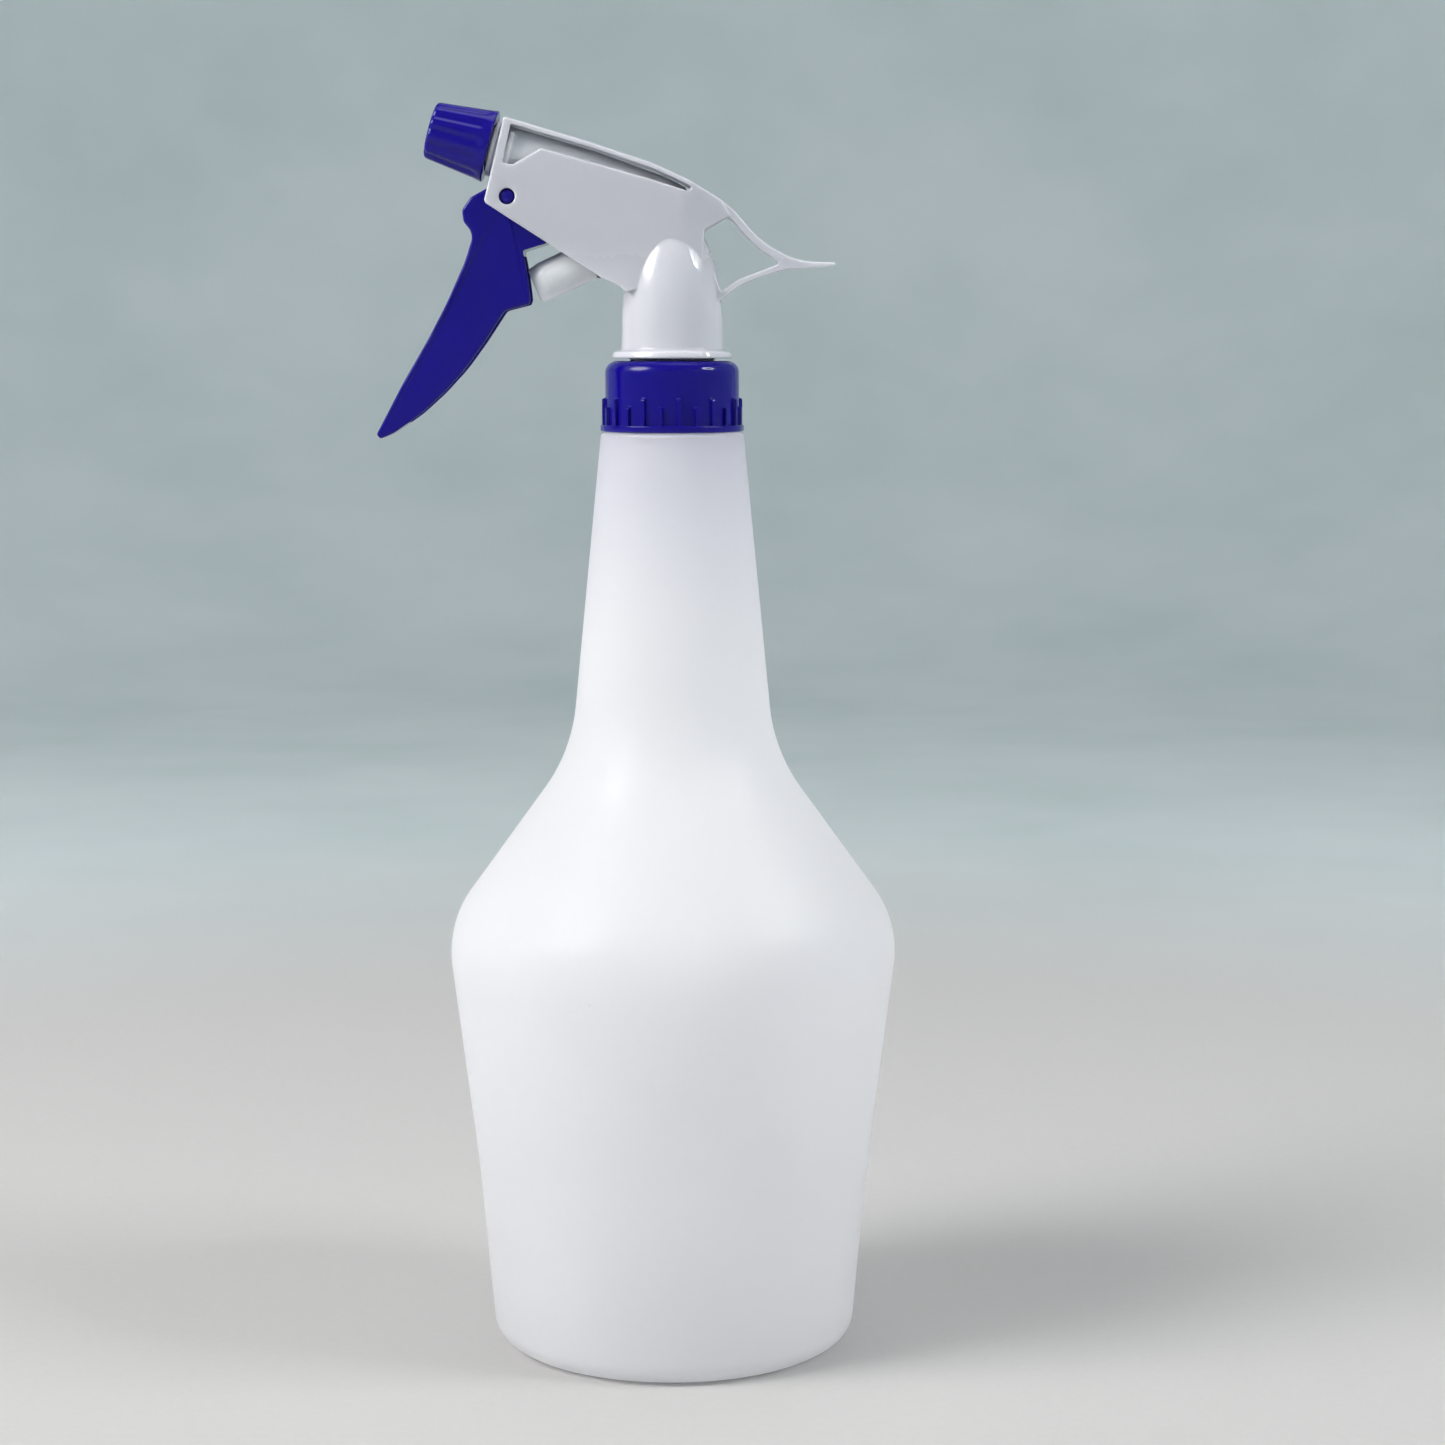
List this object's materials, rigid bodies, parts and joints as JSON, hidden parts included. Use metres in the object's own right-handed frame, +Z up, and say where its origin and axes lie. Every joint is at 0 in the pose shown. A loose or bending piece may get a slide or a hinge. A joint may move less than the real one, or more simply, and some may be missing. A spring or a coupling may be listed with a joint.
{
  "type": "spray bottle",
  "caption": "Trigger spray bottle: milky conical-neck bottle, blue screw collar, white head with squeeze trigger, pump piston, turning nozzle cap and straight dip tube.",
  "frame": {"origin": "centre of the bottle's base, on the surface it stands on", "axes": "+Z up the bottle's axis; the nozzle points to -X; the head is symmetric about the plane Y = 0"},
  "size_m": [0.1266, 0.1102, 0.3048],
  "materials": {
    "milky_hdpe": "smooth blow-moulded, slightly translucent",
    "blue_plastic": "glossy injection-moulded",
    "white_plastic": "satin to glossy injection-moulded",
    "clear_plastic": "natural translucent polypropylene",
    "spring_steel": "bright drawn",
    "seal_rubber": "smooth moulded"
  },
  "bodies": {
    "bottle": {"bottle": "milky_hdpe"},
    "gasket": {"neck_gasket": "seal_rubber"},
    "collar": {"screw_collar": "blue_plastic"},
    "head": {"housing": "white_plastic", "valve_body": "clear_plastic", "return_spring": "spring_steel", "outlet_valve_spring": "spring_steel", "spinner": "clear_plastic", "tube_adapter": "white_plastic", "adapter_seal": "seal_rubber", "dip_tube": "clear_plastic", "inlet_filter": "white_plastic"},
    "trigger": {"trigger": "blue_plastic"},
    "piston": {"piston": "clear_plastic", "vent_seal": "seal_rubber", "pressure_seal": "seal_rubber"},
    "nozzle_seal": {"nozzle_seal_ring": "seal_rubber"},
    "nozzle": {"nozzle_cap": "blue_plastic"},
    "inlet_ball": {"inlet_valve_ball": "spring_steel"},
    "outlet_ball": {"outlet_valve_ball": "spring_steel"}
  },
  "joints": [
    {"name": "thread_rise", "type": "slide", "parent": "bottle", "child": "gasket", "axis": [0, 0, 1], "range_m": [0, 0.00634]},
    {"name": "collar_turn", "type": "hinge", "parent": "gasket", "child": "collar", "pos_m": [0, 0, 0.2346], "axis": [0, 0, 1], "range_deg": [0, 540]},
    {"name": "head_swivel", "type": "hinge", "parent": "gasket", "child": "head", "pos_m": [0, 0, 0.243], "axis": [0, 0, 1], "continuous": true},
    {"name": "trigger_squeeze", "type": "hinge", "parent": "head", "child": "trigger", "pos_m": [-0.03936, 0, 0.28232], "axis": [0, -1, 0], "range_deg": [0, 22], "stiffness_Nm_per_rad": 0.5, "springref_deg": -11.46},
    {"name": "piston_stroke", "type": "slide", "parent": "head", "child": "piston", "axis": [0.91, 0, 0.4147], "range_m": [0, 0.0085], "deforming": ["return_spring"]},
    {"name": "nozzle_advance", "type": "slide", "parent": "head", "child": "nozzle_seal", "axis": [-0.9636, 0, 0.2672], "range_m": [0, 0.003]},
    {"name": "nozzle_turn", "type": "hinge", "parent": "nozzle_seal", "child": "nozzle", "pos_m": [-0.0509, 0, 0.29647], "axis": [-0.9636, 0, 0.2672], "range_deg": [0, 360]},
    {"name": "inlet_ball_lift", "type": "slide", "parent": "head", "child": "inlet_ball", "axis": [0, 0, 1], "range_m": [0, 0.002]},
    {"name": "outlet_ball_lift", "type": "slide", "parent": "head", "child": "outlet_ball", "axis": [-0.9636, 0, 0.2672], "range_m": [0, 0.0012], "stiffness_N_per_m": 60, "springref_m": -0.002, "deforming": ["outlet_valve_spring"]}
  ],
  "couplings": [
    {"joint": "collar_turn", "follows": "thread_rise", "rad_per_m": 1485.4},
    {"joint": "trigger_squeeze", "follows": "piston_stroke", "rad_per_m": 45.1},
    {"joint": "nozzle_turn", "follows": "nozzle_advance", "rad_per_m": 2094.4}
  ]
}
